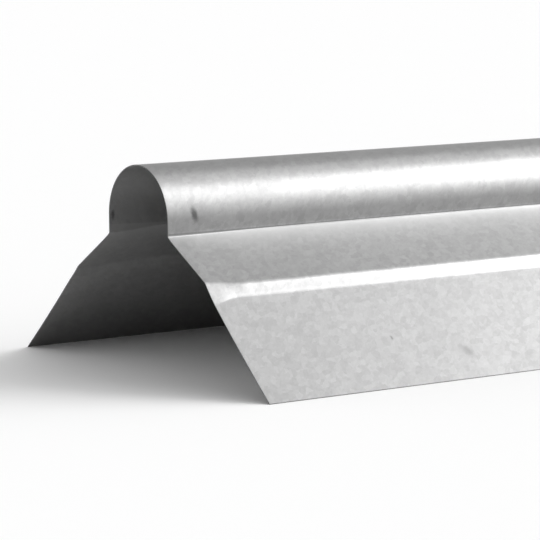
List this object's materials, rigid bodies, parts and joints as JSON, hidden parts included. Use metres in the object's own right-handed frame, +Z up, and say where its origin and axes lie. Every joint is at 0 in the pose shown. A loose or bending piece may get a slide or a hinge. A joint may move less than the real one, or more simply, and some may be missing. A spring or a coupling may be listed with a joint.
{
  "type": "roof ridge cap",
  "caption": "Length of galvanised sheet-steel roof ridge capping: half-round rolled crown, and on each side a sloping wing with a narrow steeper step and a plain cut edge.",
  "frame": {"origin": "middle of the cap's length and width, on the floor that its two wing edges stand on", "axes": "+Y along the ridge, +X across it, +Z up through the rolled crown"},
  "size_m": [0.2616, 1.8, 0.1218],
  "materials": {
    "galvanised_sheet": "hot-dip galvanised zinc coating, semi-matt, fine spangle"
  },
  "bodies": {
    "root": {"ridge_cap": "galvanised_sheet"}
  },
  "joints": []
}
